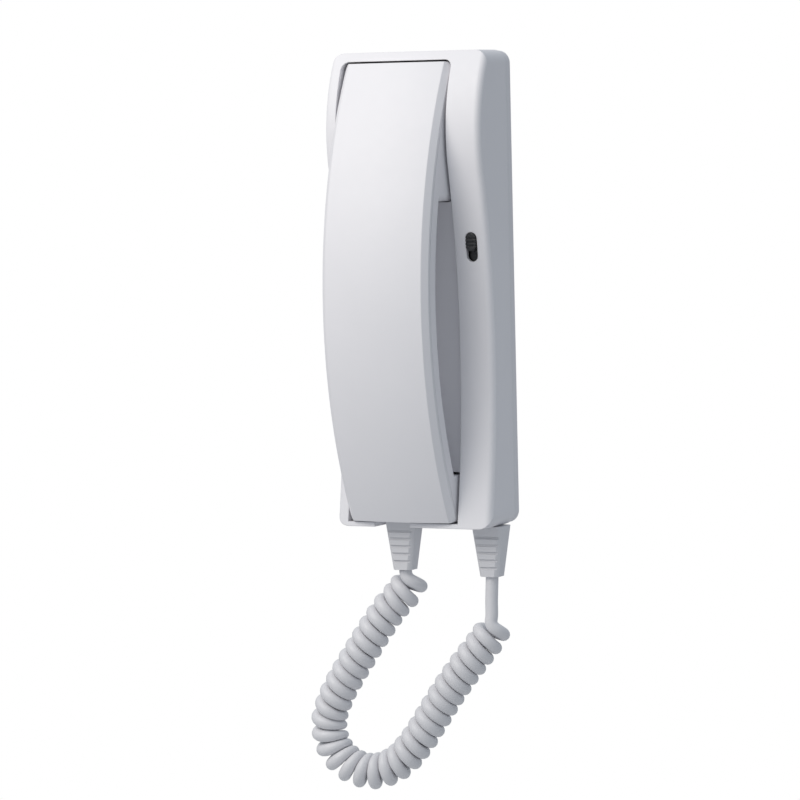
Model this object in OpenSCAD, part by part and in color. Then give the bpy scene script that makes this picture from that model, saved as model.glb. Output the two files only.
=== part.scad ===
// Wall intercom: a wall unit, its arched handset lying in the cradle, and the curly cord between them.
// Millimetres. The back of the wall plate lies on the plane Y = 0, the front faces -Y and +Z is up.
// Depth means the distance in front of the wall, so a point at depth d has Y = -d.

/* [Wall unit] */
// Width of the wall unit
unit_w = 76.2; // [74:0.2:84]
// Height of the wall unit
unit_h = 210; // [206:1:218]
// Corner radius of the wall unit seen from the front
corner_r = 6; // [4:0.5:8]
// Depth of the front at the crest of its upper bulge
bulge_d = 33.5; // [32:0.5:36]
// Height of that crest above the middle of the unit
bulge_z = 68; // [64:1:72]
// Radius of the bulge seen from the side
bulge_r = 72; // [64:1:84]
// Depth of the front in the valley behind the grip
valley_d = 23.8; // [23:0.2:26]
// Height of the valley's lowest point
valley_z = -30; // [-36:1:-24]
// Radius of the cover's front edges
edge_r = 3; // [2.5:0.1:4]
// Wall thickness of the moulded covers and shells
wall = 2; // [1.6:0.1:2.2]
// Thickness of the wall plate
plate_t = 2.5; // [2:0.1:2.8]
// Height of the wall plate's rim
rim_h = 4.8; // [4.4:0.1:5.2]
// Width of the wall plate's rim
rim_w = 1.8; // [1.4:0.1:2.2]
// How far the wall plate's rim stands in from the cover
rim_inset = 0.4; // [0.2:0.1:0.6]

/* [Wall fixing] */
// Distance between the two wall screws
screw_pitch = 83.5; // [80:0.5:85]
// Diameter of the wall screw holes
screw_hole = 4.5; // [4:0.1:5.5]
// Width of the cable window
window_w = 26; // [18:1:32]
// Height of the cable window
window_h = 18; // [12:1:20]
// Height of the cable window's centre
window_z = -58; // [-60:1:-56]

/* [Cradle] */
// Border of the cover to the left of the handset
border_left = 5.7; // [5:0.1:7]
// Border of the cover above the handset
border_top = 4; // [3.6:0.1:5]
// Gap beside the handset in its cradle
side_gap = 1.2; // [0.7:0.1:1.3]
// Gap above the handset in its cradle
top_gap = 0.8; // [0.8:0.1:1.5]
// Gap below the handset in its cradle
foot_gap = 0.5; // [0.4:0.1:0.8]
// Gap between the earpiece block and the ledge that carries it
ledge_gap = 0.4; // [0.2:0.1:0.4]
// Height of the ledge that carries the earpiece block
ledge_z = 38.7; // [38:0.1:40]
// Top of the pocket for the mouthpiece block
mouth_z = -80.5; // [-82:0.5:-79]
// Depth of the pocket floors
pocket_d = 8; // [7.6:0.1:8.4]
// Drop of the channel behind the grip below the front
channel_drop = 3.5; // [3:0.1:4]
// Corner radius of the cradle
cradle_r = 3.5; // [3:0.1:4.5]
// Width of each sound slot in the channel floor
sound_w = 22; // [16:1:26]
// Number of sound slots
sound_count = 4; // [2:1:5]

/* [Handset] */
// Width of the handset
handset_w = 51.9; // [50:0.1:53]
// Radius of the handset's front edge seen from the side
arc_r = 215; // [205:1:225]
// Depth of the front edge at the top of the arch
arc_d = 54.1; // [52:0.1:56]
// Height of the top of the arch
arc_z = -6; // [-9:1:-3]
// Rise of the crowned front across the handset
crown = 2; // [1.5:0.1:2.6]
// Width of the bevel along the front shell
bevel_w = 2.4; // [1.8:0.1:3]
// Depth of the bevel along the front shell
bevel_d = 2.6; // [2:0.1:3]
// Straight side of the front shell behind the bevel
front_side = 1.6; // [1:0.1:2.4]
// Straight side of the rear shell at the grip
rear_side = 7.5; // [6.5:0.1:8.5]
// Radius along the rear edges of the grip
grip_r = 3; // [2.5:0.1:4]
// Parting gap between the handset's shells
shell_gap = 0.15; // [0.1:0.05:0.3]
// Corner radius of the handset seen from the front
handset_r = 2.5; // [2:0.1:3.5]
// Depth of the backs of the earpiece and mouthpiece blocks
block_d = 11; // [10.8:0.1:11.4]
// Radius of the receiver capsule
receiver_r = 17; // [15:0.5:17.5]
// Height of the receiver's centre
receiver_z = 69; // [66:1:70]

/* [Volume slider] */
// Height of the slot's centre
slider_z = 18.9; // [16:0.1:19]
// Width of the slot
slot_w = 5.4; // [5:0.1:6]
// Length of the slot
slot_l = 13; // [12:0.1:14]
// Travel of the knob
slider_travel = 4.4; // [4:0.1:4.8]

/* [Cord] */
// Diameter of the cord
cord_d = 5.3; // [4.8:0.1:5.3]
// Radius of the curls at the cord's centre
curl_r = 5.4; // [5:0.1:5.6]
// Pitch of the curls on a straight leg
curl_pitch = 5.9; // [5.9:0.1:6.4]
// Width of a boot at its top
boot_w = 15; // [14:0.1:16]
// Depth of a boot at its top
boot_t = 12; // [11:0.1:12.4]
// Width of a boot at its tip
boot_tip_w = 9.2; // [8.6:0.1:10]
// Depth of a boot at its tip
boot_tip_t = 8.8; // [8.4:0.1:9.4]
// Length of a boot outside its housing
boot_l = 22.5; // [22:0.5:25]
// Number of grooves across each face of a boot
groove_count = 5; // [3:1:5]

/* [Hidden] */
$fn = 96;

// Cuts run this far past the faces that they open
past = 1;
// Everything lies behind this depth
front_limit = 70;
// Clearance between a piece and its seat in the same body
seat = 0.15;

// Cover curves: bulge and valley are arcs that run on into each other
cover_back = rim_h + 0.3;
curve_rise = bulge_d - valley_d;
curve_run = bulge_z - valley_z;
valley_r = (curve_run * curve_run + curve_rise * curve_rise) / (2 * curve_rise) - bulge_r;
curve_turn = asin(curve_run / (bulge_r + valley_r));
valley_axis = valley_d + valley_r;
// The valley's arc is set this far into the bulge's, so that the two cross cleanly
arc_overlap = 0.03;
arc_past = 4;
// The valley's edges are rounded by this much more than the bulge's
valley_edge = 0.2;
// Edge roundings of the cover and the grip run this far past the sides that they meet
edge_cross = 0.08;
grip_cross = 0.03;
bulge_turn = 60;
valley_turn = 12;
edge_share = 0.7;

// Handset and cradle places
half_w = unit_w / 2;
half_h = unit_h / 2;
cradle_x0 = -half_w + border_left;
cradle_x1 = cradle_x0 + handset_w + 2 * side_gap;
cradle_top = half_h - border_top;
cradle_foot = -half_h + wall;
handset_x = cradle_x0 + side_gap + handset_w / 2;
handset_half = handset_w / 2;
handset_top = cradle_top - top_gap;
handset_foot = cradle_foot + foot_gap;
ear_z = ledge_z + ledge_gap;
chin_z = mouth_z - side_gap;
// The earpiece block's lower corners follow the cradle's corners
block_r = cradle_r - ledge_gap;
block_share = 0.5;
arc_axis = arc_d - arc_r;
arc_turn = 34;
part_r = arc_r - bevel_d - front_side;
grip_rear_r = part_r - rear_side;
crown_half = handset_half - bevel_w;
crown_r = (crown_half * crown_half + crown * crown) / (2 * crown);

// Screws
screw_r = 1.2;
pilot_r = 1.25;
clear_r = 1.7;
head_r = 2.8;
head_h = 1.8;
head_room = 0.3;
boss_r = 3.6;
recess_share = 0.5;
recess_reach = 1.3;
recess_slot = 0.35;
cover_screw_in = 12;
cover_screw_z = [cradle_top - cover_screw_in, cradle_foot + cover_screw_in];
counterbore = 1;
cover_seat = pocket_d - counterbore;

// Main board, with its distances from what stands round it
board_t = 1.6;
board_lift = 2;
board_left = 4.5;
board_right = 3.5;
board_below_ledge = 1.7;
board_above_window = 13;
board_d = plate_t + board_lift;
board_face = board_d + board_t;
board_x0 = -half_w + board_left;
board_x1 = half_w - board_right;
board_top = ledge_z - wall - board_below_ledge;
board_foot = window_z + window_h / 2 + board_above_window;
board_screw_in = 4;
board_screw_r = 0.9;
board_pilot_r = 0.95;
board_clear_r = 1.25;
board_head_r = 2.2;
board_head_h = 1.4;
board_post_r = 2.5;
board_screw_x = [board_x0 + board_screw_in, board_x1 - board_screw_in];
board_screw_zs = [board_foot + board_screw_in, board_top - board_screw_in];
window_r = 3;

// Sounder
sounder_r = 13;
sounder_h = 8;
sounder_step = 1;
sounder_lip = 1.5;
sounder_hole = 2;
sounder_above = 12;
sounder_z = board_foot + sounder_r + sounder_above;
sound_pitch = 4.5;
sound_slot = 1.6;

// Terminal block
terminal_count = 4;
terminal_pitch = 5;
terminal_w = 9;
terminal_h = 10;
terminal_end = 1;
terminal_up = 1;
terminal_screw_r = 1.6;
terminal_room = 0.2;
terminal_slot = 0.6;
terminal_wire = 3;
terminal_x0 = handset_x - terminal_count * terminal_pitch / 2;
terminal_foot = board_foot + terminal_up;
terminal_screw_z = terminal_foot + terminal_w * 0.6;

// Hook lever
hook_w = 10;
hook_t = 2.4;
hook_gap = 0.3;
hook_pivot_z = 12;
hook_pivot_d = 15;
hook_pin_r = 1;
hook_bore_r = 1.05;
hook_barrel_r = 2.6;
hook_finger_d = block_d - hook_gap - hook_t / 2;
hook_bend_z = ledge_z - wall - 8;
hook_tip_z = ear_z + 11;
hook_swing = 6.7;
bracket_half = 6.5;
bracket_ear = 2;
bracket_t = 1.5;
hook_switch_w = 12.8;
hook_switch_t = 5.8;
hook_switch_h = 6.2;
hook_switch_z = 22;
hook_plunger_r = 1.3;
hook_slot_room = 0.6;
hook_side_room = 0.2;
hook_pin_fit = 0.02;
hook_pin_past = 0.4;
bracket_foot = 5;
bracket_eye_r = 3.6;

// Volume slider
knob_gap = 0.3;
knob_w = slot_w - 2 * knob_gap;
knob_l = slot_l - slider_travel - 2 * knob_gap;
knob_z = slider_z + slider_travel / 2;
knob_rise = 0.9;
knob_groove = 0.6;
knob_groove_d = 0.5;
knob_groove_pitch = 1.6;
slider_x = (cradle_x1 + half_w) / 2;
flange_side = 1.3;
flange_end = 1.5;
flange_w = half_w - cradle_x1 - 2 * wall - 2 * flange_side;
flange_l = slot_l + slider_travel + 2 * flange_end;
flange_t = 1.4;
flange_low = slider_z - slider_travel / 2 - flange_l / 2;
flange_d = valley_front(wall, flange_low) - knob_gap;
stem_w = 2.6;
stem_l = 3;
stem_up = 2;
stem_d = board_face + stem_up;
switch_h = 5;
switch_wall = 0.9;
switch_end = 2.5;
switch_w = stem_w + 2 * knob_gap + 2 * switch_wall;
switch_l = slot_l + 2 * switch_end;

// Boots
groove_first = 5;
groove_pitch = 3.4;
groove_h = 1.1;
groove_d = 0.7;
boot_round = 0.57;
boot_neck_w = 6.4;
boot_neck_t = 6.5;
boot_flange = 1.6;
base_boot_in = 2.3;
base_boot_x = half_w - corner_r - base_boot_in;
base_boot_d = 12.5;
handset_boot_off = 5;
handset_boot_x = handset_x - handset_boot_off;
handset_boot_d = 18.3;
notch_room = 1.2;

// Handset inside
hole_r = 1;
hole_pitch = 4.6;
gasket_t = 1;
gasket_w = 3;
basket_h = 4;
magnet_r = 11;
magnet_h = 5;
clamp_t = 1.6;
clamp_w = 8;
clamp_bite = 5;
clamp_clear_r = 1.2;
clamp_head_r = 2;
post_r = 2.2;
post_room = 0.3;
post_x = handset_half - wall - post_r - post_room;
receiver_back = block_d + wall + gasket_t + basket_h + magnet_h;
shell_screw_z = [22, -58];
shell_screw_l = 7;
boss_base = 2.6;
boss_r0 = grip_rear_r + wall + boss_base;
boss_r1 = arc_r + crown - wall / 2;
mic_r = 4.85;
mic_h = 5;
mic_boot_r = 6.6;
mic_boot_h = 7;
mic_boot_floor = 1;
mic_hole_r = 1.4;
mic_fit = 0.05;
mic_seat = block_d + wall + mic_boot_floor;
mic_side = 9;
mic_x = handset_x + mic_side;
mic_z = (handset_foot + chin_z) / 2;
ballast_w = 26;
ballast_t = 5;
ballast_l = 42;
ballast_z = -8;
small_board_w = 26;
small_board_l = 12;
small_board_t = 1.2;
small_board_z = -68;
small_post_h = 2;
small_post_r = 1.8;
small_post_in = 4;
small_post_x = small_board_w / 2 - small_post_in;

// Route of the cord's middle line from the handset's boot to the wall unit's boot
cord_seat = 0.2;
cord_start = [handset_boot_x, -handset_boot_d, handset_foot - boot_l - cord_seat];
cord_end = [base_boot_x, -base_boot_d, -half_h - boot_l];
cord_route = [
    cord_start,
    cord_start - [0, 0, 5.5],
    [-11.5, -19, -137],
    [-16.5, -19.5, -143.5],
    [-23, -20, -151.5],
    [-30.5, -20.5, -161.5],
    [-38, -21, -172],
    [-45, -21, -183],
    [-49.5, -20.5, -195],
    [-47.5, -20, -206.5],
    [-39.5, -19.5, -214.5],
    [-28, -18.5, -217],
    [-16.5, -17.5, -212.5],
    [-7.5, -17, -203.5],
    [0, -16, -193],
    [7.5, -15, -182],
    [15.5, -14.5, -171],
    [23, -13.5, -160.5],
    [28, -13, -151.5],
    cord_end - [0, 0, 15],
    cord_end - [0, 0, 8],
    cord_end
];
route_steps = 16;
lead_in = 5.5;
lead_out = 16;
ramp_in = 6;
ramp_out = 10;
curl_rings = 8;
cord_sides = 6;
lead_ring = 3;
bend_window = 6;
// Share of a turn that the curl starts from
curl_start = 0.45;
// Rings of the cord that lie this many steps apart are measured against each other
gap_steps = 6;

// Angle on the handset's arc, up from straight ahead, of a point at radius r and height z
function arc_angle(r, z) = asin((z - arc_z) / r);

// Depth of the cover's valley curve, set back by inset, at height z
function valley_front(inset, z) = valley_axis - sqrt(pow(valley_r + inset, 2) - pow(z - valley_z, 2));

// Outline in X and Z raised from depth d0 to depth d1
module raise(d0, d1) {
    translate([0, -d0, 0])
        rotate([90, 0, 0])
            linear_extrude(d1 - d0)
                children();
}

// Profile in depth and Z drawn across the unit from x0 to x1
module across(x0, x1) {
    translate([x1, 0, 0])
        rotate([90, 0, -90])
            linear_extrude(x1 - x0)
                children();
}

// Section in radius and X swept about a level axis, with angles measured up from straight ahead
module sweep(axis_d, axis_z, low, high) {
    translate([0, -axis_d, axis_z])
        rotate([-90, 0, 0])
            rotate([0, 90, 0])
                rotate([0, 0, -high])
                    rotate_extrude(angle = high - low, $fn = 240)
                        children();
}

// Places children on the handset's arc at height z and a radius, with their Z pointing outwards
module on_arc(z, radius) {
    translate([handset_x, -arc_axis, arc_z])
        rotate([90 - arc_angle(radius, z), 0, 0])
            translate([0, 0, radius])
                children();
}

module box_2d(x0, y0, x1, y1) {
    translate([x0, y0])
        square([x1 - x0, y1 - y0]);
}

module round_box_2d(x0, y0, x1, y1, r) {
    box_2d(x0 + r, y0, x1 - r, y1);
    box_2d(x0, y0 + r, x1, y1 - r);
    for (x = [x0 + r, x1 - r], y = [y0 + r, y1 - r])
        translate([x, y])
            circle(r);
}

// Peg along the depth from d0 to d1
module peg(x, z, d0, d1, r) {
    raise(d0, d1)
        translate([x, z])
            circle(r);
}

// Pan head screw driven towards the wall, with its head seated at depth d
module screw(x, z, d, length, shank_r, top_r, top_h) {
    peg(x, z, d - length, d + top_h * recess_share / 2, shank_r);
    difference() {
        peg(x, z, d, d + top_h, top_r);
        raise(d + top_h * recess_share, d + top_h + past)
            translate([x, z]) {
                square([top_r * recess_reach, top_r * recess_slot], center = true);
                square([top_r * recess_slot, top_r * recess_reach], center = true);
            }
    }
}

module unit_outline(inset) {
    round_box_2d(-half_w + inset, -half_h + inset, half_w - inset, half_h - inset, corner_r - inset);
}

// Section of the cover from radius r0 to r1 with rounded corners at radius r1
module bulge_section(r0, r1, half, r) {
    box_2d(r0, -half, r1 - r, half);
    box_2d(r0, -half + r, r1, half - r);
    for (side = [-1, 1])
        translate([r1 - r, side * (half - r)])
            circle(r);
}

// The same with the rounded corners at the inner radius r0
module valley_section(r0, r1, half, r) {
    box_2d(r0 + r, -half, r1, half);
    box_2d(r0, -half + r, r1, half - r);
    for (side = [-1, 1])
        translate([r0 + r, side * (half - r)])
            circle(r);
}

// The wall unit's moulded front as one solid, set back by inset, with rounder edges than an even wall gives
module unit_form(inset) {
    half = half_w - inset + edge_cross;
    r = edge_r - inset * edge_share;
    intersection() {
        union() {
            sweep(bulge_d - bulge_r, bulge_z, -curve_turn - arc_past, bulge_turn)
                bulge_section(bulge_r - bulge_d - past, bulge_r - inset, half, r);
            sweep(valley_axis - arc_overlap, valley_z, 180 - curve_turn, 180 + valley_turn)
                valley_section(valley_r + inset, valley_r + bulge_d + past, half, r + valley_edge);
        }
        raise(-past, front_limit)
            unit_outline(inset);
    }
}

// Space of the cradle, grown by more on every side
module cradle_space(more) {
    raise(pocket_d - more, front_limit)
        round_box_2d(
            cradle_x0 - more,
            ledge_z - more,
            cradle_x1 + more,
            cradle_top + more,
            cradle_r + more
        );
    raise(pocket_d - more, front_limit)
        box_2d(cradle_x0 - more, cradle_foot - more, cradle_x1 + more, mouth_z + more);
    intersection() {
        raise(pocket_d - more, front_limit)
            box_2d(cradle_x0 - more, cradle_foot, cradle_x1 + more, cradle_top - cradle_r);
        translate([cradle_x0 - more, -valley_axis, valley_z])
            rotate([0, 90, 0])
                cylinder(r = valley_r + channel_drop + more, h = cradle_x1 - cradle_x0 + 2 * more);
    }
}

module base_cover() {
    color("white")
        difference() {
            intersection() {
                unit_form(0);
                raise(cover_back, front_limit)
                    unit_outline(0);
            }
            difference() {
                unit_form(wall);
                cradle_space(wall);
            }
            cradle_space(0);
            slider_slot();
            hook_slot();
            boot_hole(base_boot_x, base_boot_d, -half_h);
            boot_notch();
            sound_slots();
            for (z = cover_screw_z) {
                peg(handset_x, z, 0, front_limit, clear_r);
                peg(handset_x, z, cover_seat, front_limit, head_r + head_room);
            }
        }
}

// Slot with round ends for the volume slider
module slider_slot() {
    raise(flange_d, front_limit)
        slot_2d(slider_x, slider_z, slot_w, slot_l);
}

module slot_2d(x, z, w, l) {
    box_2d(x - w / 2, z - l / 2 + w / 2, x + w / 2, z + l / 2 - w / 2);
    for (side = [-1, 1])
        translate([x, z + side * (l - w) / 2])
            circle(w / 2);
}

// Window in the ledge for the hook lever's finger
module hook_slot() {
    half = hook_w / 2 + hook_slot_room;
    raise(pocket_d, hook_finger_d + hook_t / 2 + hook_swing)
        box_2d(handset_x - half, ledge_z - wall - past, handset_x + half, ledge_z + past);
}

// Hole through a wall whose outside lies at height z, for the neck of a boot
module boot_hole(x, d, z) {
    translate([x - boot_neck_w / 2 - seat, -d - boot_neck_t / 2 - seat, z - past])
        cube([boot_neck_w + 2 * seat, boot_neck_t + 2 * seat, wall + 2 * past]);
}

// Notch in the foot of the cradle, open to the front, for the handset's boot
module boot_notch() {
    raise(handset_boot_d - boot_t / 2 - notch_room, front_limit)
        box_2d(
            handset_boot_x - boot_w / 2 - notch_room,
            -half_h - past,
            handset_boot_x + boot_w / 2 + notch_room,
            cradle_foot + past
        );
}

// Slots in the channel floor in front of the sounder
module sound_slots() {
    for (i = [0 : sound_count - 1])
        raise(pocket_d, front_limit)
            rotate([0, 0, 90])
                slot_2d(
                    sounder_z + (i - (sound_count - 1) / 2) * sound_pitch,
                    -handset_x,
                    sound_slot,
                    sound_w
                );
}

module wall_plate() {
    color("gainsboro")
        difference() {
            union() {
                difference() {
                    raise(0, rim_h)
                        unit_outline(rim_inset);
                    raise(plate_t, rim_h + past)
                        unit_outline(rim_inset + rim_w);
                }
                for (z = cover_screw_z)
                    peg(handset_x, z, plate_t / 2, pocket_d - wall, boss_r);
                for (x = board_screw_x, z = board_screw_zs)
                    peg(x, z, plate_t / 2, board_d, board_post_r);
            }
            for (side = [-1, 1])
                peg(0, side * screw_pitch / 2, -past, plate_t + past, screw_hole / 2);
            raise(-past, plate_t + past)
                round_box_2d(
                    handset_x - window_w / 2,
                    window_z - window_h / 2,
                    handset_x + window_w / 2,
                    window_z + window_h / 2,
                    window_r
                );
            for (z = cover_screw_z)
                peg(handset_x, z, plate_t / 2, pocket_d, pilot_r);
            for (x = board_screw_x, z = board_screw_zs)
                peg(x, z, plate_t / 2, board_d + past, board_pilot_r);
        }
}

module cover_screws() {
    color("silver")
        for (z = cover_screw_z)
            screw(handset_x, z, cover_seat, cover_seat - plate_t, screw_r, head_r, head_h);
}

module main_board() {
    color("seagreen")
        difference() {
            raise(board_d, board_face)
                box_2d(board_x0, board_foot, board_x1, board_top);
            for (x = board_screw_x, z = board_screw_zs)
                peg(x, z, board_d - past, board_face + past, board_clear_r);
        }
}

module board_screws() {
    color("silver")
        for (x = board_screw_x, z = board_screw_zs)
            screw(x, z, board_face, board_face - plate_t, board_screw_r, board_head_r, board_head_h);
}

// Middle of terminal i across the unit
function terminal_x(i) = terminal_x0 + (i + 0.5) * terminal_pitch;

module terminal_block() {
    color("steelblue")
        difference() {
            raise(board_face, board_face + terminal_h)
                box_2d(
                    terminal_x0 - terminal_end,
                    terminal_foot,
                    terminal_x0 + terminal_count * terminal_pitch + terminal_end,
                    terminal_foot + terminal_w
                );
            for (i = [0 : terminal_count - 1]) {
                peg(
                    terminal_x(i),
                    terminal_screw_z,
                    board_face + terminal_h * 0.5,
                    board_face + terminal_h + past,
                    terminal_screw_r + terminal_room
                );
                translate([terminal_x(i), -board_face - terminal_h * 0.3, terminal_foot - past])
                    cylinder(d = terminal_wire, h = terminal_w * 0.6);
            }
        }
}

module terminal_screws() {
    color("silver")
        for (i = [0 : terminal_count - 1])
            difference() {
                peg(
                    terminal_x(i),
                    terminal_screw_z,
                    board_face + terminal_h * 0.5,
                    board_face + terminal_h * 0.9,
                    terminal_screw_r
                );
                raise(board_face + terminal_h * 0.8, board_face + terminal_h)
                    translate([terminal_x(i), terminal_screw_z])
                        square([terminal_screw_r * 3, terminal_slot], center = true);
            }
}

module sounder() {
    front = board_face + sounder_h;
    color("dimgray")
        difference() {
            union() {
                peg(handset_x, sounder_z, board_face, front - sounder_step, sounder_r);
                peg(handset_x, sounder_z, front - 2 * sounder_step, front, sounder_r - sounder_lip);
            }
            peg(handset_x, sounder_z, board_face + sounder_h / 2, front + past, sounder_hole);
        }
}

module hook_bracket() {
    half = bracket_half + bracket_ear;
    color("lightgray")
        difference() {
            union() {
                raise(board_face, board_face + bracket_t)
                    box_2d(
                        handset_x - half,
                        hook_pivot_z - bracket_foot,
                        handset_x + half,
                        hook_pivot_z + bracket_foot
                    );
                for (x = [handset_x - half, handset_x + bracket_half])
                    across(x, x + bracket_ear) {
                        box_2d(
                            board_face,
                            hook_pivot_z - bracket_eye_r,
                            hook_pivot_d,
                            hook_pivot_z + bracket_eye_r
                        );
                        translate([hook_pivot_d, hook_pivot_z])
                            circle(bracket_eye_r);
                    }
            }
            pivot_peg(hook_pin_r + hook_pin_fit, half + past);
        }
}

// Peg along X through the hook pivot
module pivot_peg(r, half) {
    translate([handset_x - half, -hook_pivot_d, hook_pivot_z])
        rotate([0, 90, 0])
            cylinder(r = r, h = 2 * half);
}

module hook_pivot_pin() {
    color("silver")
        pivot_peg(hook_pin_r, bracket_half + bracket_ear + hook_pin_past);
}

module hook_switch() {
    color("black") {
        raise(board_face, board_face + hook_switch_h)
            box_2d(
                handset_x - hook_switch_w / 2,
                hook_switch_z - hook_switch_t / 2,
                handset_x + hook_switch_w / 2,
                hook_switch_z + hook_switch_t / 2
            );
        peg(
            handset_x,
            hook_switch_z,
            board_face + hook_switch_h / 2,
            hook_pivot_d - hook_t / 2 - hook_gap,
            hook_plunger_r
        );
    }
}

module hook_lever() {
    half_t = hook_t / 2;
    drop = hook_pivot_d - hook_finger_d;
    color("ivory")
        difference() {
            union() {
                across(handset_x - hook_w / 2, handset_x + hook_w / 2) {
                    polygon([
                        [hook_pivot_d - half_t, hook_pivot_z],
                        [hook_pivot_d - half_t, hook_bend_z],
                        [hook_finger_d - half_t, hook_bend_z + drop],
                        [hook_finger_d - half_t, hook_tip_z],
                        [hook_finger_d + half_t, hook_tip_z],
                        [hook_finger_d + half_t, hook_bend_z + drop + half_t],
                        [hook_pivot_d + half_t, hook_bend_z + half_t],
                        [hook_pivot_d + half_t, hook_pivot_z]
                    ]);
                    translate([hook_finger_d, hook_tip_z])
                        circle(half_t);
                }
                pivot_peg(hook_barrel_r, bracket_half - hook_side_room);
            }
            pivot_peg(hook_bore_r, bracket_half + past);
        }
}

module slide_switch() {
    color("black")
        difference() {
            raise(board_face, board_face + switch_h)
                box_2d(
                    slider_x - switch_w / 2,
                    slider_z - switch_l / 2,
                    slider_x + switch_w / 2,
                    slider_z + switch_l / 2
                );
            raise(stem_d - knob_gap, board_face + switch_h + past)
                box_2d(
                    slider_x - stem_w / 2 - knob_gap,
                    knob_z - slider_travel - stem_l / 2 - knob_gap,
                    slider_x + stem_w / 2 + knob_gap,
                    knob_z + stem_l / 2 + knob_gap
                );
        }
}

module volume_slider() {
    knob_front = valley_front(0, knob_z) + knob_rise;
    color("black") {
        difference() {
            raise(flange_d - flange_t / 2, knob_front)
                slot_2d(slider_x, knob_z, knob_w, knob_l);
            for (i = [-1 : 1])
                raise(knob_front - knob_groove_d, knob_front + past)
                    translate([slider_x, knob_z + i * knob_groove_pitch])
                        square([knob_w + past, knob_groove], center = true);
        }
        raise(flange_d - flange_t, flange_d)
            box_2d(
                slider_x - flange_w / 2,
                knob_z - flange_l / 2,
                slider_x + flange_w / 2,
                knob_z + flange_l / 2
            );
        raise(stem_d, flange_d - flange_t / 2)
            box_2d(slider_x - stem_w / 2, knob_z - stem_l / 2, slider_x + stem_w / 2, knob_z + stem_l / 2);
    }
}

// Strain relief boot hanging from a wall whose outside lies at height z
module boot(x, d, z) {
    translate([x, -d, z]) {
        difference() {
            boot_body();
            for (i = [0 : groove_count - 1])
                boot_groove(groove_first + i * groove_pitch);
        }
        translate([-boot_neck_w / 2, -boot_neck_t / 2, -groove_h])
            cube([boot_neck_w, boot_neck_t, groove_h + wall + seat + boot_flange / 2]);
        translate([-boot_neck_w / 2, -boot_neck_t / 2 - boot_flange, wall + seat])
            cube([boot_neck_w, boot_neck_t + 2 * boot_flange, boot_flange]);
    }
}

// The boot's tapered body with rounded corners
module boot_body() {
    intersection() {
        translate([0, boot_t, 0])
            rotate([90, 0, 0])
                linear_extrude(2 * boot_t)
                    taper_2d(boot_w, boot_tip_w);
        boot_depth(0);
        translate([0, 0, -boot_l])
            cylinder(r1 = boot_tip_w * boot_round, r2 = boot_w * boot_round, h = boot_l);
    }
}

// The space between the boot's front and back faces, set in by inset
module boot_depth(inset) {
    translate([-boot_w, 0, 0])
        rotate([90, 0, 90])
            linear_extrude(2 * boot_w)
                taper_2d(boot_t - 2 * inset, boot_tip_t - 2 * inset);
}

module taper_2d(top, tip) {
    polygon([[-top / 2, 0], [-tip / 2, -boot_l], [tip / 2, -boot_l], [top / 2, 0]]);
}

// A groove across the boot's front face and one across its back face, set down from its top
module boot_groove(down) {
    difference() {
        translate([-boot_w, -boot_t, -down - groove_h / 2])
            cube([2 * boot_w, 2 * boot_t, groove_h]);
        boot_depth(groove_d);
    }
}

module base_cord_boot() {
    color("whitesmoke")
        boot(base_boot_x, base_boot_d, -half_h);
}

module handset_cord_boot() {
    color("whitesmoke")
        boot(handset_boot_x, handset_boot_d, handset_foot);
}

// Outline of the handset seen from the front
module handset_outline(inset) {
    round_box_2d(
        handset_x - handset_half + inset,
        handset_foot + inset,
        handset_x + handset_half - inset,
        handset_top - inset,
        handset_r
    );
}

// Crowned and bevelled section of the front shell, set in by inset
module front_section(inset, r0) {
    half = handset_half - inset;
    shoulder = part_r + front_side - inset * block_share;
    top = arc_r + crown + past;
    lean = bevel_w / bevel_d;
    intersection() {
        polygon([
            [r0, -half],
            [r0, half],
            [shoulder, half],
            [top, half - (top - shoulder) * lean],
            [top, -half + (top - shoulder) * lean],
            [shoulder, -half]
        ]);
        translate([arc_r + crown - crown_r, 0])
            circle(crown_r - inset, $fn = 240);
    }
}

module handset_front_shell() {
    color("white")
        difference() {
            union() {
                difference() {
                    intersection() {
                        translate([handset_x, 0, 0])
                            sweep(arc_axis, arc_z, -arc_turn, arc_turn)
                                front_section(0, part_r + shell_gap);
                        raise(0, front_limit)
                            handset_outline(0);
                    }
                    intersection() {
                        translate([handset_x, 0, 0])
                            sweep(arc_axis, arc_z, -arc_turn, arc_turn)
                                front_section(wall, part_r - past);
                        raise(0, front_limit)
                            handset_outline(wall);
                    }
                }
                for (z = shell_screw_z)
                    peg(handset_x, z, arc_depth(boss_r0, z), arc_depth(boss_r1, z), boss_r);
            }
            for (z = shell_screw_z)
                peg(handset_x, z, 0, arc_depth(arc_r - wall, z), pilot_r);
        }
}

// Depth of a circle about the handset's arc axis at height z
function arc_depth(r, z) = arc_axis + sqrt(r * r - pow(z - arc_z, 2));

// Section of the space behind the grip, with the grip's rear edges rounded, set in by inset
module under_section(inset) {
    half = handset_half - inset + grip_cross;
    r = grip_r - inset * block_share;
    r0 = grip_rear_r + inset;
    difference() {
        box_2d(r0 - handset_w, -half - past, r0 + r, half + past);
        box_2d(r0, -half + r, r0 + r + past, half - r);
        for (side = [-1, 1])
            translate([r0 + r, side * (half - r)])
                circle(r);
    }
}

// The rear shell as one solid behind the parting line, set in by inset
module rear_form(inset) {
    difference() {
        intersection() {
            raise(block_d + inset, front_limit)
                handset_outline(inset);
            translate([handset_x - handset_half - past, -arc_axis, arc_z])
                rotate([0, 90, 0])
                    cylinder(r = part_r + (inset > 0 ? past : 0), h = handset_w + 2 * past, $fn = 240);
        }
        intersection() {
            translate([handset_x, 0, 0])
                sweep(arc_axis, arc_z, -arc_turn, arc_turn)
                    under_section(inset);
            raise(0, front_limit)
                between_blocks(inset);
        }
    }
}

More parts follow.
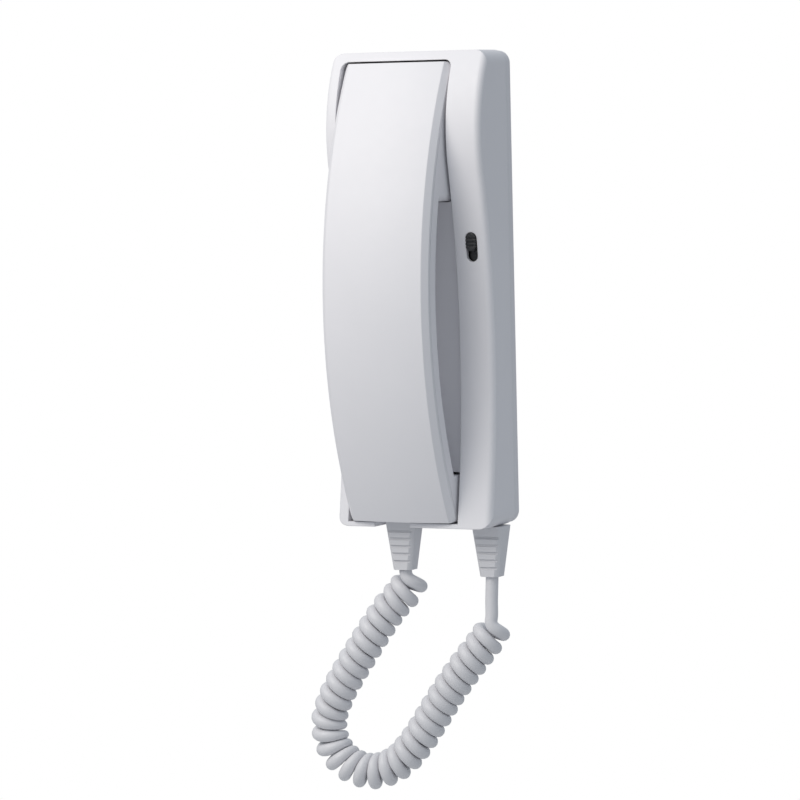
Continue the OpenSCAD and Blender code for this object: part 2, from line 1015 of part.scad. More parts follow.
// Outline of the space between the two blocks, which rounds the lower corners of the earpiece block
module between_blocks(inset) {
    top = ear_z + inset;
    r = block_r - inset * block_share;
    half = handset_half - inset + grip_cross;
    box_2d(handset_x - handset_w, chin_z - inset, handset_x + handset_w, top);
    for (side = [-1, 1])
        difference() {
            translate([handset_x + side * half, top])
                square(2 * r, center = true);
            translate([handset_x + side * (half - r), top + r])
                circle(r);
        }
}

module handset_rear_shell() {
    color("white")
        difference() {
            union() {
                difference() {
                    rear_form(0);
                    rear_form(wall);
                }
                for (z = shell_screw_z)
                    peg(
                        handset_x,
                        z,
                        arc_depth(grip_rear_r + wall / 2, z),
                        arc_depth(boss_r0, z) - seat,
                        boss_r
                    );
                for (side = [-1, 1])
                    peg(handset_x + side * post_x, receiver_z, block_d + wall / 2, receiver_back, post_r);
                for (side = [-1, 1])
                    on_arc(small_board_z, grip_rear_r + wall / 2)
                        translate([side * small_post_x, 0, 0])
                            cylinder(r = small_post_r, h = wall / 2 + small_post_h);
            }
            for (z = shell_screw_z) {
                peg(handset_x, z, 0, front_limit, clear_r);
                peg(handset_x, z, 0, arc_depth(grip_rear_r + wall, z), head_r + head_room);
            }
            for (side = [-1, 1])
                peg(handset_x + side * post_x, receiver_z, block_d + wall, front_limit, board_pilot_r);
            receiver_holes();
            peg(mic_x, mic_z, 0, block_d + wall + past, mic_hole_r);
            boot_hole(handset_boot_x, handset_boot_d, handset_foot);
        }
}

// Sound holes in front of the receiver: one in the middle and two rings
module receiver_holes() {
    peg(handset_x, receiver_z, 0, block_d + wall + past, hole_r);
    for (ring = [1 : 2], i = [0 : 6 * ring - 1])
        peg(
            handset_x + ring * hole_pitch * cos(i * 60 / ring),
            receiver_z + ring * hole_pitch * sin(i * 60 / ring),
            0,
            block_d + wall + past,
            hole_r
        );
}

module handset_screws() {
    color("silver")
        for (z = shell_screw_z)
            mirror([0, 1, 0])
                screw(
                    handset_x,
                    z,
                    -arc_depth(grip_rear_r + wall, z),
                    shell_screw_l,
                    screw_r,
                    head_r,
                    head_h
                );
}

module receiver() {
    color("dimgray") {
        peg(handset_x, receiver_z, block_d + wall + gasket_t, receiver_back - magnet_h, receiver_r);
        peg(handset_x, receiver_z, receiver_back - magnet_h - basket_h / 2, receiver_back, magnet_r);
    }
}

module receiver_gasket() {
    color("black")
        difference() {
            peg(handset_x, receiver_z, block_d + wall, block_d + wall + gasket_t, receiver_r);
            peg(handset_x, receiver_z, 0, front_limit, receiver_r - gasket_w);
        }
}

module receiver_clamp() {
    half = post_x + post_r;
    color("silver")
        difference() {
            raise(receiver_back, receiver_back + clamp_t)
                round_box_2d(
                    handset_x - half,
                    receiver_z - clamp_w / 2,
                    handset_x + half,
                    receiver_z + clamp_w / 2,
                    post_r
                );
            for (side = [-1, 1])
                peg(handset_x + side * post_x, receiver_z, 0, front_limit, clamp_clear_r);
        }
}

module clamp_screws() {
    color("silver")
        for (side = [-1, 1])
            screw(
                handset_x + side * post_x,
                receiver_z,
                receiver_back + clamp_t,
                clamp_t + clamp_bite,
                board_screw_r,
                clamp_head_r,
                board_head_h
            );
}

module microphone_boot() {
    color("black")
        difference() {
            peg(mic_x, mic_z, block_d + wall, block_d + wall + mic_boot_h, mic_boot_r);
            peg(mic_x, mic_z, mic_seat, front_limit, mic_r + mic_fit);
            peg(mic_x, mic_z, 0, front_limit, mic_hole_r);
        }
}

module microphone() {
    color("silver")
        peg(mic_x, mic_z, mic_seat, mic_seat + mic_h, mic_r);
}

module ballast_weight() {
    r0 = grip_rear_r + wall + seat;
    low = arc_angle(r0, ballast_z - ballast_l / 2);
    high = arc_angle(r0, ballast_z + ballast_l / 2);
    color("gray")
        translate([handset_x, 0, 0])
            sweep(arc_axis, arc_z, low, high)
                box_2d(r0, -ballast_w / 2, r0 + ballast_t, ballast_w / 2);
}

module handset_board() {
    color("seagreen")
        on_arc(small_board_z, grip_rear_r + wall + small_post_h)
            translate([-small_board_w / 2, -small_board_l / 2, 0])
                cube([small_board_w, small_board_l, small_board_t]);
}

route_last = len(cord_route) - 1;

// A route point, carried on in a straight line past either end
function route_at(i) =
    i < 0 ? 2 * cord_route[0] - cord_route[1]
    : i > route_last ? 2 * cord_route[route_last] - cord_route[route_last - 1]
    : cord_route[i];

// Smooth curve through the route points at t, from 0 to 1 between points i and i + 1
function route_curve(i, t) =
    let (a = route_at(i - 1), b = route_at(i), c = route_at(i + 1), d = route_at(i + 2))
    0.5 * (2 * b + (c - a) * t + (2 * a - 5 * b + 4 * c - d) * t * t + (3 * b - a - 3 * c + d) * t * t * t);

route_fine = [
    for (i = [0 : route_last - 1], k = [0 : route_steps - 1]) route_curve(i, k / route_steps),
    cord_route[route_last]
];
fine_last = len(route_fine) - 1;

function unit_of(v) = v / norm(v);
function fine_tangent(i) = unit_of(route_fine[min(i + 1, fine_last)] - route_fine[max(i - 1, 0)]);

// Length along the route up to each fine point
route_run = [
    for (
        i = 0, run = 0;
        i <= fine_last;
        run = run + norm(route_fine[min(i + 1, fine_last)] - route_fine[i]),
        i = i + 1
    )
        run
];
route_length = route_run[fine_last];

// Bend of the route per millimetre, taken over a window of fine points
function route_bend(i) =
    let (a = max(i - bend_window, 0), b = min(i + bend_window, fine_last))
    acos(min(1, fine_tangent(a) * fine_tangent(b))) * PI / 180 / (route_run[b] - route_run[a]);

function smooth(t) = let (u = min(1, max(0, t))) u * u * (3 - 2 * u);

// Share of the curl at a length along the route: none on the leads, all of it on the coil
function curl_share(run) =
    min(smooth((run - lead_in) / ramp_in), smooth((route_length - lead_out - run) / ramp_out));

// Curl turns per millimetre, slower round the bend so that the inner sides of the curls stay apart
function curl_rate(i) = curl_share(route_run[i]) * (1 - curl_r * route_bend(i)) / curl_pitch;

// Rows of length along the route, turns so far, rings so far
cord_rows = [
    for (
        i = 0, turns = 0, rings = 0;
        i <= fine_last;
        step = i < fine_last ? route_run[i + 1] - route_run[i] : 0,
        rate = curl_rate(min(i, fine_last)),
        turns = turns + rate * step,
        rings = rings + max(rate * curl_rings, 1 / lead_ring) * step,
        i = i + 1
    )
        [route_run[i], turns, rings]
];
ring_total = floor(cord_rows[fine_last][2]);
run_by_ring = [for (row = cord_rows) [row[2] * ring_total / cord_rows[fine_last][2], row[0]]];
turns_by_run = [for (row = cord_rows) [row[0], row[1]]];
x_by_run = [for (i = [0 : fine_last]) [route_run[i], route_fine[i][0]]];
y_by_run = [for (i = [0 : fine_last]) [route_run[i], route_fine[i][1]]];
z_by_run = [for (i = [0 : fine_last]) [route_run[i], route_fine[i][2]]];

function axis_at(run) = [lookup(run, x_by_run), lookup(run, y_by_run), lookup(run, z_by_run)];
function axis_tangent(run) = unit_of(axis_at(min(run + 0.5, route_length)) - axis_at(max(run - 0.5, 0)));

// Middle line of the wound cord: a left-handed curl about the route
function cord_at(run) =
    let (
        t = axis_tangent(run),
        side = unit_of(cross(t, [0, 1, 0])),
        face = cross(t, side),
        turn = -360 * (lookup(run, turns_by_run) + curl_start)
    )
    axis_at(run) + curl_r * curl_share(run) * (cos(turn) * side + sin(turn) * face);

cord_middle = [for (k = [0 : ring_total]) cord_at(lookup(k, run_by_ring))];
cord_tangents = [
    for (k = [0 : ring_total])
        unit_of(cord_middle[min(k + 1, ring_total)] - cord_middle[max(k - 1, 0)])
];

// Side directions of the rings, carried from ring to ring without twist
cord_sides_at = [
    for (
        k = 0, side = [0, 1, 0];
        k <= ring_total;
        k = k + 1,
        side = k <= ring_total ? unit_of(side - (side * cord_tangents[k]) * cord_tangents[k]) : side
    )
        side
];

cord_points = [
    for (k = [0 : ring_total], s = [0 : cord_sides - 1])
        cord_middle[k] + cord_d / 2 * (
            cos(s * 360 / cord_sides) * cord_sides_at[k]
            + sin(s * 360 / cord_sides) * cross(cord_tangents[k], cord_sides_at[k])
        )
];

cord_faces = [
    for (s = [1 : cord_sides - 2]) [0, s, s + 1],
    for (k = [0 : ring_total - 1], s = [0 : cord_sides - 1], half = [0, 1])
        let (
            a = k * cord_sides + s,
            b = k * cord_sides + (s + 1) % cord_sides,
            c = a + cord_sides,
            d = b + cord_sides
        )
        half == 0 ? [a, d, b] : [a, c, d],
    for (s = [1 : cord_sides - 2])
        [ring_total * cord_sides, ring_total * cord_sides + s + 1, ring_total * cord_sides + s]
];

// Least gap of the cord to itself
cord_gap = min([
    for (i = [0 : ring_total - gap_steps])
        min([for (j = [i + gap_steps : ring_total]) norm(cord_middle[i] - cord_middle[j])])
]) - cord_d;
cord_length = [
    for (
        k = 0, total = 0;
        k <= ring_total;
        total = total + norm(cord_middle[min(k + 1, ring_total)] - cord_middle[k]),
        k = k + 1
    )
        total
][ring_total];
echo(cord_gap = cord_gap, cord_length = cord_length, turns = cord_rows[fine_last][1], rings = ring_total);

module curly_cord() {
    color("whitesmoke")
        polyhedron(points = cord_points, faces = cord_faces);
}

base_cover();
wall_plate();
cover_screws();
main_board();
board_screws();
terminal_block();
terminal_screws();
sounder();
hook_bracket();
hook_pivot_pin();
hook_switch();
hook_lever();
slide_switch();
volume_slider();
base_cord_boot();
curly_cord();
handset_front_shell();
handset_rear_shell();
handset_screws();
receiver();
receiver_gasket();
receiver_clamp();
clamp_screws();
microphone();
microphone_boot();
ballast_weight();
handset_board();
handset_cord_boot();
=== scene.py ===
import math

import bpy
import numpy as np
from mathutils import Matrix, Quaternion, Vector


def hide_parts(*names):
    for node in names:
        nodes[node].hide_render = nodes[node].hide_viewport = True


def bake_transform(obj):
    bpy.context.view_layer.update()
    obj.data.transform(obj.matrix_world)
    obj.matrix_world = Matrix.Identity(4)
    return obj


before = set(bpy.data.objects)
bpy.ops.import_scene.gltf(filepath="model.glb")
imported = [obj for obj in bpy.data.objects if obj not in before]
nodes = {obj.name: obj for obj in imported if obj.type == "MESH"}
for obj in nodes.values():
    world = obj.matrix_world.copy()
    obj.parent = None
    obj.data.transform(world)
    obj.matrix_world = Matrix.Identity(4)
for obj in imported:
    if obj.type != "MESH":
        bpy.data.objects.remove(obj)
scene = bpy.context.scene
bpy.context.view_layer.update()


def link_object(name, data):
    """Makes an object from its data and puts it in the scene."""
    piece = bpy.data.objects.new(name, data)
    scene.collection.objects.link(piece)
    return piece


# Camera, with angles in degrees, distances in metres, and lens and sensor in millimetres

AZIMUTH = 27.0
ELEVATION = 4.1
ROLL = 1.3
DISTANCE = 1.8
AIM = Vector((-0.0077, -0.025, -0.0488))
LENS = 182.7
SENSOR_WIDTH = 36.0
CLIP_START = 0.05
CLIP_END = 50.0


def make_camera():
    """Camera at the photograph's viewing angle, turned a little about its own axis."""
    data = bpy.data.cameras.new("camera")
    data.sensor_width = SENSOR_WIDTH
    data.lens = LENS
    data.clip_start = CLIP_START
    data.clip_end = CLIP_END
    camera = link_object("camera", data)
    a, e = math.radians(AZIMUTH), math.radians(ELEVATION)
    back = Vector((math.sin(a) * math.cos(e), -math.cos(a) * math.cos(e), math.sin(e)))
    camera.rotation_mode = "QUATERNION"
    camera.location = AIM + back * DISTANCE
    level = (-back).to_track_quat("-Z", "Y")
    camera.rotation_quaternion = level @ Quaternion((0, 0, 1), -math.radians(ROLL))
    scene.camera = camera


make_camera()


# Shader nodes

# Most values of a noise lie in this range, which is spread over the range of roughness that it drives
NOISE_LOW = 0.3
NOISE_HIGH = 0.7


def new_material(name):
    """New material, its node tree and its shader."""
    material = bpy.data.materials.new(name)
    material.use_nodes = True
    tree = material.node_tree
    return material, tree, tree.nodes["Principled BSDF"]


def set_inputs(node, values):
    for key, value in values.items():
        node.inputs[key].default_value = value


def add(tree, kind, inputs=None, **settings):
    """Adds a shader node with its settings and the values of its inputs."""
    node = tree.nodes.new(kind)
    for key, value in settings.items():
        setattr(node, key, value)
    set_inputs(node, inputs or {})
    return node


def object_place(tree):
    """Place of a surface point in the object's own frame."""
    return add(tree, "ShaderNodeTexCoord").outputs["Object"]


def noise(tree, place, scale, detail=3.0, rough=0.55):
    """Noise with a scale in cells per metre."""
    node = add(tree, "ShaderNodeTexNoise", {"Scale": scale, "Detail": detail, "Roughness": rough})
    tree.links.new(place, node.inputs["Vector"])
    return node.outputs["Fac"]


def ramp(tree, value, low, high):
    """Maps a noise to a range of roughness."""
    span = {"From Min": NOISE_LOW, "From Max": NOISE_HIGH, "To Min": low, "To Max": high}
    node = add(tree, "ShaderNodeMapRange", span)
    tree.links.new(value, node.inputs["Value"])
    return node.outputs["Result"]


def tint(tree, value, first, second):
    """Colour that goes from the first to the second as a value goes from 0 to 1."""
    node = add(tree, "ShaderNodeMix", data_type="RGBA")
    colours = [socket for socket in node.inputs if socket.type == "RGBA"]
    for socket, colour in zip(colours, (first, second)):
        socket.default_value = (*colour, 1)
    tree.links.new(value, node.inputs["Factor"])
    return next(socket for socket in node.outputs if socket.type == "RGBA")


def add_bump(tree, shader, height, strength, distance, normal=None):
    """Bump from a height, on top of another normal where one is given."""
    bump = add(tree, "ShaderNodeBump", {"Strength": strength, "Distance": distance})
    tree.links.new(height, bump.inputs["Height"])
    if normal is not None:
        tree.links.new(normal, bump.inputs["Normal"])
    tree.links.new(bump.outputs["Normal"], shader.inputs["Normal"])


# Moulded plastic

CLOUD_SCALE = 38.0
GLOSS_SCALE = 260.0
PATCH_DETAIL = 4.0
GRAIN_DETAIL = 2.0
GRAIN_DISTANCE = 0.0002
# How far the roughness goes below and above its middle value
GLOSSIER = 0.04
DULLER = 0.05
EDGE_SAMPLES = 6
PLASTIC_IOR = 1.5
COAT_ROUGHNESS = 0.35


def moulded(name, first, second, rough, grain, depth, edge=0.0006, coat=0.0):
    """Moulded plastic: fine grain, cloudy colour and gloss, softened edges."""
    material, tree, shader = new_material(name)
    place = object_place(tree)
    clouds = noise(tree, place, CLOUD_SCALE, PATCH_DETAIL)
    tree.links.new(tint(tree, clouds, first, second), shader.inputs["Base Color"])
    gloss = noise(tree, place, GLOSS_SCALE, PATCH_DETAIL)
    tree.links.new(ramp(tree, gloss, rough - GLOSSIER, rough + DULLER), shader.inputs["Roughness"])
    soft = add(tree, "ShaderNodeBevel", {"Radius": edge}, samples=EDGE_SAMPLES)
    height = noise(tree, place, grain, GRAIN_DETAIL)
    add_bump(tree, shader, height, depth, GRAIN_DISTANCE, normal=soft.outputs["Normal"])
    set_inputs(shader, {"IOR": PLASTIC_IOR, "Coat Weight": coat, "Coat Roughness": COAT_ROUGHNESS})
    return material


# Plated metal

PLATING_SCALE = 300.0
# Share of the colour that the darker patches keep
PLATING_SHADE = 0.8
PLATING_GLOSSIER = 0.08
PLATING_DULLER = 0.1
# Lines are drawn out along Z by squeezing the place in the noise along it
DRAWN_SQUEEZE = (1.0, 1.0, 0.04)
DRAWN_STRENGTH = 0.25
DRAWN_DISTANCE = 0.0001


def plated(name, colour, rough, grain):
    """Plated metal with fine drawn lines."""
    material, tree, shader = new_material(name)
    place = object_place(tree)
    set_inputs(shader, {"Metallic": 1.0})
    clouds = noise(tree, place, PLATING_SCALE, PATCH_DETAIL)
    darker = tuple(PLATING_SHADE * c for c in colour)
    tree.links.new(tint(tree, clouds, darker, colour), shader.inputs["Base Color"])
    roughness = ramp(tree, clouds, rough - PLATING_GLOSSIER, rough + PLATING_DULLER)
    tree.links.new(roughness, shader.inputs["Roughness"])
    stretch = add(tree, "ShaderNodeMapping", {"Scale": DRAWN_SQUEEZE})
    tree.links.new(place, stretch.inputs["Vector"])
    lines = noise(tree, stretch.outputs["Vector"], grain, GRAIN_DETAIL)
    add_bump(tree, shader, lines, DRAWN_STRENGTH, DRAWN_DISTANCE)
    return material


# Circuit board

TRACKS = {
    "Scale": 260.0,
    "Mortar Size": 0.05,
    "Color1": (0.012, 0.13, 0.06, 1),
    "Color2": (0.016, 0.17, 0.08, 1),
    "Mortar": (0.03, 0.24, 0.11, 1),
}
# The pattern lies in X and Y and the boards stand nearly in X and Z, so it is turned about X
TRACK_TURN = (math.radians(90), 0, 0)
TRACK_STRENGTH = 0.3
TRACK_DISTANCE = 0.00005
LACQUER_SCALE = 200.0
LACQUER_ROUGHNESS = (0.25, 0.4)


def board_green(name):
    """Lacquered circuit board with faint tracks under the lacquer."""
    material, tree, shader = new_material(name)
    place = object_place(tree)
    tracks = add(tree, "ShaderNodeTexBrick", TRACKS)
    turn = add(tree, "ShaderNodeMapping", {"Rotation": TRACK_TURN})
    tree.links.new(place, turn.inputs["Vector"])
    tree.links.new(turn.outputs["Vector"], tracks.inputs["Vector"])
    tree.links.new(tracks.outputs["Color"], shader.inputs["Base Color"])
    lacquer = noise(tree, place, LACQUER_SCALE)
    tree.links.new(ramp(tree, lacquer, *LACQUER_ROUGHNESS), shader.inputs["Roughness"])
    add_bump(tree, shader, tracks.outputs["Fac"], TRACK_STRENGTH, TRACK_DISTANCE)
    return material


# Finish of each node

WHITE = moulded(
    "white_abs", (0.793, 0.784, 0.81), (0.823, 0.814, 0.84),
    rough=0.50, grain=2600.0, depth=0.10, coat=0.06,
)
PLATE = moulded(
    "plate_abs", (0.76, 0.752, 0.78), (0.79, 0.782, 0.81),
    rough=0.5, grain=2000.0, depth=0.18,
)
IVORY = moulded(
    "ivory_acetal", (0.74, 0.72, 0.64), (0.78, 0.76, 0.68),
    rough=0.4, grain=2200.0, depth=0.10,
)
BLACK = moulded(
    "black_abs", (0.012, 0.012, 0.013), (0.02, 0.02, 0.021),
    rough=0.42, grain=3000.0, depth=0.25, edge=0.0003,
)
KNOB = moulded(
    "knob_abs", (0.010, 0.010, 0.011), (0.016, 0.016, 0.017),
    rough=0.26, grain=3000.0, depth=0.12, edge=0.0008, coat=0.6,
)
BLUE = moulded(
    "blue_nylon", (0.03, 0.12, 0.30), (0.04, 0.15, 0.36),
    rough=0.5, grain=2400.0, depth=0.2, edge=0.0003,
)
CORD = moulded(
    "cord_pvc", (0.715, 0.709, 0.731), (0.755, 0.749, 0.771),
    rough=0.42, grain=3200.0, depth=0.16, edge=0.0002,
)
RUBBER = moulded(
    "black_rubber", (0.014, 0.014, 0.014), (0.024, 0.024, 0.024),
    rough=0.7, grain=2600.0, depth=0.3, edge=0.0003,
)
DARK = moulded(
    "dark_coat", (0.05, 0.05, 0.052), (0.07, 0.07, 0.073),
    rough=0.45, grain=1800.0, depth=0.2, edge=0.0003,
)
STEEL = plated("plated_steel", (0.62, 0.62, 0.63), rough=0.3, grain=1500.0)
BRIGHT = plated("bright_can", (0.75, 0.75, 0.76), rough=0.22, grain=900.0)
GREEN = board_green("board_green")

FINISH = {
    "base_cover": WHITE, "handset_front_shell": WHITE, "handset_rear_shell": WHITE, "wall_plate": PLATE,
    "base_cord_boot": CORD, "handset_cord_boot": CORD, "volume_slider": KNOB, "slide_switch": BLACK,
    "hook_switch": BLACK, "hook_lever": IVORY, "terminal_block": BLUE, "sounder": DARK, "receiver": DARK,
    "ballast_weight": DARK, "receiver_gasket": RUBBER, "microphone_boot": RUBBER, "microphone": BRIGHT,
    "main_board": GREEN, "handset_board": GREEN, "hook_bracket": STEEL, "hook_pivot_pin": STEEL,
    "receiver_clamp": STEEL, "cover_screws": STEEL, "board_screws": STEEL, "terminal_screws": STEEL,
    "handset_screws": STEEL, "clamp_screws": STEEL, "curly_cord": CORD,
}


def dress(name, material):
    """Gives the whole surface of a node one material."""
    mesh = nodes[name].data
    mesh.materials.clear()
    mesh.materials.append(material)
    for polygon in mesh.polygons:
        polygon.material_index = 0


for node_name, finish in FINISH.items():
    dress(node_name, finish)


# Curly cord, in metres. It hangs close to the route of its solid, and its turns lie closer together

CORD_D = 0.0057
# Radius of the coil at the cord's middle line, and the way from turn to turn on a straight leg
CURL_R = 0.0054
CURL_PITCH = 0.0059
# Straight lead at the handset and at the wall unit, and the bend that turns either one into the winding
LEAD_IN = 0.0015
LEAD_OUT = 0.0195
LEAD_BEND_R = 0.0032
# How far the turns open round a bend, where 1 keeps their inner sides as far apart as on a straight leg
OPENING = 0.2
# Turns that come closer than a diameter press each other flat, with this much left between them
PRESS_GAP = 0.00005
# Steps between two points of the route, and the steps each way over which its bend is measured
ROUTE_STEPS = 64
BEND_WINDOW = 24
# Distance each way over which the coil's way is measured
WAY_REACH = 0.0005
# Rings of the tube in a turn and in a metre of lead, and sides of a ring
RINGS_PER_TURN = 24
RINGS_PER_LEAD_METRE = 2000
TUBE_SIDES = 16

# Where the cord comes out of the boots, at the handset and at the wall unit
START = np.array((-0.01025, -0.0183, -0.1252))
END = np.array((0.0298, -0.0125, -0.1275))
UP = np.array((0.0, 0.0, 1.0))
BACK = np.array((0.0, 1.0, 0.0))
# The lead at the wall unit leans 6 degrees, so that it comes away from the wall on its way down
LEAD_WAY = np.array((0.0, 0.1045, 0.9945))
# The leads run down the front of the coil, so its middle line starts and ends behind the two boots' tips
COIL_START = START + CURL_R * BACK
COIL_END = END + CURL_R * np.array((0.0, LEAD_WAY[2], -LEAD_WAY[1]))
ROUTE = np.array([
    COIL_START, COIL_START - 0.0045 * UP,
    (-0.0130, -0.0137, -0.1352), (-0.0194, -0.0155, -0.1425), (-0.0254, -0.0175, -0.1513),
    (-0.0319, -0.0192, -0.1615), (-0.0386, -0.0203, -0.172), (-0.045, -0.021, -0.183),
    (-0.0495, -0.0205, -0.195), (-0.0475, -0.020, -0.2065), (-0.0395, -0.0195, -0.2145),
    (-0.028, -0.0185, -0.217), (-0.0165, -0.0175, -0.2125), (-0.0077, -0.017, -0.2035),
    (-0.0005, -0.016, -0.193), (0.0066, -0.015, -0.182), (0.0143, -0.0138, -0.1712),
    (0.0213, -0.0122, -0.162), (0.0268, -0.0105, -0.1545),
    COIL_END - 0.019 * LEAD_WAY, COIL_END - 0.010 * LEAD_WAY, COIL_END,
])


def unit(v):
    """Vectors of length 1 in the same directions."""
    return v / np.linalg.norm(v, axis=-1, keepdims=True)


def summed(steps):
    """Running sum of steps, from 0."""
    return np.concatenate([[0], np.cumsum(steps)])


def run_along(points):
    """Distance along a line, at each of its points."""
    return summed(np.linalg.norm(np.diff(points, axis=0), axis=1))


def smooth_route():
    """Points of a smooth curve through those of the route."""
    points = np.vstack([2 * ROUTE[0] - ROUTE[1], ROUTE, 2 * ROUTE[-1] - ROUTE[-2]])
    fine = []
    for i in range(len(ROUTE) - 1):
        a, b, c, d = points[i:i + 4]
        for k in range(ROUTE_STEPS):
            t = k / ROUTE_STEPS
            fine.append(0.5 * (2 * b + (c - a) * t + (2 * a - 5 * b + 4 * c - d) * t ** 2
                               + (3 * b - a - 3 * c + d) * t ** 3))
    return np.array(fine + [ROUTE[-1]])


def bend_along(points, run):
    """Bend of a line at each of its points, in radians per metre."""
    last = len(points) - 1
    index = np.arange(last + 1)
    tangent = unit(points[np.minimum(index + 1, last)] - points[np.maximum(index - 1, 0)])
    first, second = np.maximum(index - BEND_WINDOW, 0), np.minimum(index + BEND_WINDOW, last)
    angle = np.arccos(np.minimum(1, np.sum(tangent[first] * tangent[second], axis=1)))
    return angle / (run[second] - run[first])


def winding_rate(run, bend):
    """Turns per metre of the coil's middle line."""
    # A lead bends into the winding round an arc, so the sine of its angle to the coil's way grows evenly
    full = 2 * math.pi * CURL_R / CURL_PITCH
    reach_in = np.minimum(run - LEAD_IN, run[-1] - LEAD_OUT - run) / LEAD_BEND_R
    sine = np.clip(reach_in, 0, full / math.hypot(1, full))
    wound = sine / np.sqrt(1 - sine ** 2) / full
    return wound * (1 - OPENING * CURL_R * bend) / CURL_PITCH


def cord_line():
    """Middle line of the wound cord, and the way along the coil at each of its points."""
    route = smooth_route()
    run = run_along(route)
    step = np.diff(run)
    rate = winding_rate(run, bend_along(route, run))
    turns = summed((rate[:-1] + rate[1:]) / 2 * step)
    # Whole turns bring the second lead to the front of the coil, where the first one is
    turns *= round(turns[-1]) / turns[-1]
    rings = summed(np.maximum(rate[:-1] * RINGS_PER_TURN, RINGS_PER_LEAD_METRE) * step)
    count = int(rings[-1])
    ring_run = np.interp(np.arange(count + 1), rings * count / rings[-1], run)

    def axis(at):
        return np.stack([np.interp(at, run, route[:, k]) for k in range(3)], -1)

    ahead = axis(np.minimum(ring_run + WAY_REACH, run[-1]))
    behind = axis(np.maximum(ring_run - WAY_REACH, 0))
    along = unit(ahead - behind)
    side = unit(np.cross(along, BACK))
    face = np.cross(along, side)
    angle = (math.pi / 2 - 2 * math.pi * np.interp(ring_run, run, turns))[:, None]
    return axis(ring_run) + CURL_R * (np.cos(angle) * side + np.sin(angle) * face), along


def pressed_share(line):
    """Share of its thickness that the cord keeps at each point, given the room to the next turn."""
    run = run_along(line)
    apart = np.linalg.norm(line[:, None] - line[None], axis=2)
    other_turn = np.abs(run[:, None] - run[None]) > math.pi * CURL_R
    room = np.where(other_turn, apart, np.inf).min(axis=1)
    return np.minimum(1, (room - PRESS_GAP) / CORD_D)


def tube(name, line, radius, sides, way, share):
    """Closed tube along a line of points, pressed to a share of its thickness along a given way."""
    tangent = np.empty_like(line)
    tangent[1:-1] = line[2:] - line[:-2]
    tangent[0] = line[1] - line[0]
    tangent[-1] = line[-1] - line[-2]
    tangent = unit(tangent)
    side = BACK
    verts, faces = [], []
    for i, (middle, t) in enumerate(zip(line, tangent)):
        side = unit(side - (side @ t) * t)
        other = np.cross(t, side)
        for k in range(sides):
            angle = 2 * math.pi * k / sides
            arm = radius * (math.cos(angle) * side + math.sin(angle) * other)
            verts.append(middle + arm - (1 - share[i]) * (arm @ way[i]) * way[i])
    for i in range(len(line) - 1):
        for k in range(sides):
            a, b = i * sides + k, i * sides + (k + 1) % sides
            faces.append((a, b, b + sides, a + sides))
    faces.append(tuple(reversed(range(sides))))
    faces.append(tuple(range(len(verts) - sides, len(verts))))
    mesh = bpy.data.meshes.new(name)
    mesh.from_pydata([tuple(v) for v in verts], [], faces)
    mesh.polygons.foreach_set("use_smooth", [len(f) == 4 for f in faces])
    mesh.update()
    return link_object(name, mesh)


line, coil_way = cord_line()
cord = tube("curly_cord_wound", line, CORD_D / 2, TUBE_SIDES, coil_way, pressed_share(line))
cord.data.materials.append(CORD)
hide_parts("curly_cord")
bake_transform(cord)


# Floor, light and background

FLOOR_SIDES = 96
FLOOR_R = 1.0
FLOOR_Z = -0.45
FLOOR_SCALE = 3.0
FLOOR_ROUGHNESS = 0.9
FLOOR_DARK = (0.66, 0.66, 0.66)
FLOOR_LIGHT = (0.70, 0.70, 0.70)
# Point near the middle of the handset and the wall unit, which the lamp shines at
LAMP_AIM = Vector((-0.005, -0.03, 0.0))
BACKGROUND_COLOUR = (1, 1, 1, 1)
SOFT_COLOUR = (0.86, 0.925, 1.0, 1)
# Strength of the soft light from straight below and from straight above
SOFT_BELOW = 0.09
SOFT_ABOVE = 0.71


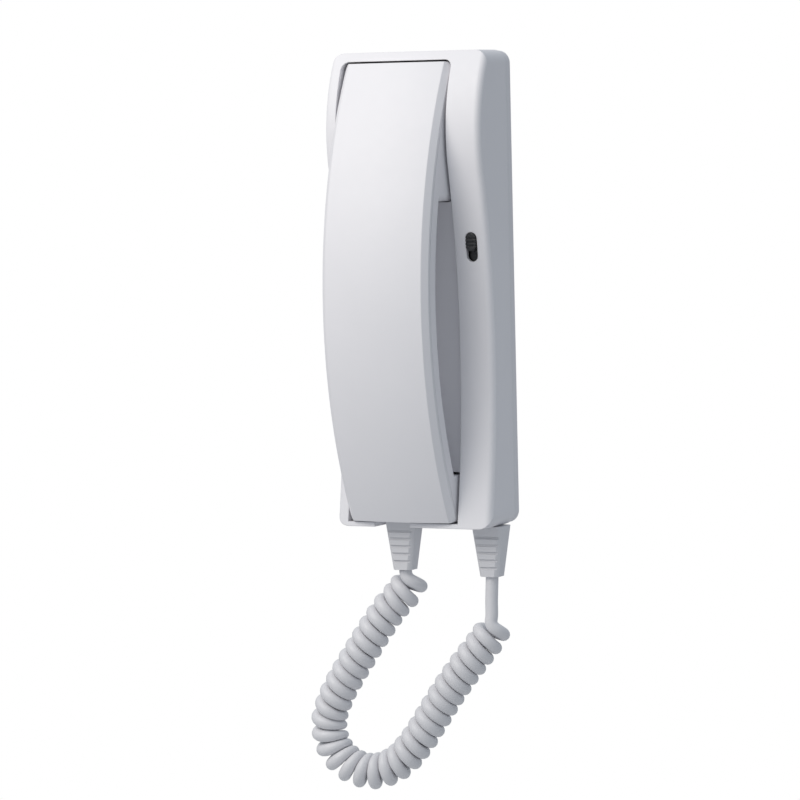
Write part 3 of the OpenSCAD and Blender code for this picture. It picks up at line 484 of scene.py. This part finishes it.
def make_floor():
    """Round pale floor, well below the hanging cord."""
    angles = [2 * math.pi * k / FLOOR_SIDES for k in range(FLOOR_SIDES)]
    rim = [(FLOOR_R * math.cos(a), FLOOR_R * math.sin(a), FLOOR_Z) for a in angles]
    mesh = bpy.data.meshes.new("floor")
    mesh.from_pydata(rim, [], [tuple(range(FLOOR_SIDES))])
    floor = link_object("floor", mesh)
    material, tree, shader = new_material("floor_paint")
    mottle = noise(tree, object_place(tree), FLOOR_SCALE)
    tree.links.new(tint(tree, mottle, FLOOR_DARK, FLOOR_LIGHT), shader.inputs["Base Color"])
    set_inputs(shader, {"Roughness": FLOOR_ROUGHNESS})
    mesh.materials.append(material)


def make_lamp(name, direction, distance, size, power, colour):
    """Round lamp in a direction from the object, turned towards it."""
    data = bpy.data.lights.new(name, "AREA")
    data.shape = "DISK"
    data.size = size
    data.energy = power
    data.color = colour
    lamp = link_object(name, data)
    way = Vector(direction).normalized()
    lamp.location = LAMP_AIM + way * distance
    lamp.rotation_mode = "QUATERNION"
    lamp.rotation_quaternion = way.to_track_quat("Z", "Y")


def make_world():
    """White behind the object, and a cool soft light that is stronger from above than from below."""
    world = bpy.data.worlds.new("studio")
    world.use_nodes = True
    tree = world.node_tree
    tree.nodes.clear()
    out = add(tree, "ShaderNodeOutputWorld")
    seen = add(tree, "ShaderNodeBackground", {"Color": BACKGROUND_COLOUR})
    light = add(tree, "ShaderNodeBackground", {"Color": SOFT_COLOUR})
    place = add(tree, "ShaderNodeTexCoord")
    axes = add(tree, "ShaderNodeSeparateXYZ")
    span = {"From Min": -1.0, "From Max": 1.0, "To Min": SOFT_BELOW, "To Max": SOFT_ABOVE}
    grade = add(tree, "ShaderNodeMapRange", span)
    tree.links.new(place.outputs["Generated"], axes.inputs["Vector"])
    tree.links.new(axes.outputs["Z"], grade.inputs["Value"])
    tree.links.new(grade.outputs["Result"], light.inputs["Strength"])
    pick = add(tree, "ShaderNodeMixShader")
    rays = add(tree, "ShaderNodeLightPath")
    tree.links.new(rays.outputs["Is Camera Ray"], pick.inputs["Fac"])
    tree.links.new(light.outputs["Background"], pick.inputs[1])
    tree.links.new(seen.outputs["Background"], pick.inputs[2])
    tree.links.new(pick.outputs["Shader"], out.inputs["Surface"])
    scene.world = world


make_floor()
make_lamp(
    "key", direction=(-0.37, -0.72, 0.59), distance=0.75, size=0.68, power=3.9,
    colour=(1.0, 0.955, 0.90),
)
make_world()
scene.view_settings.view_transform = "Standard"
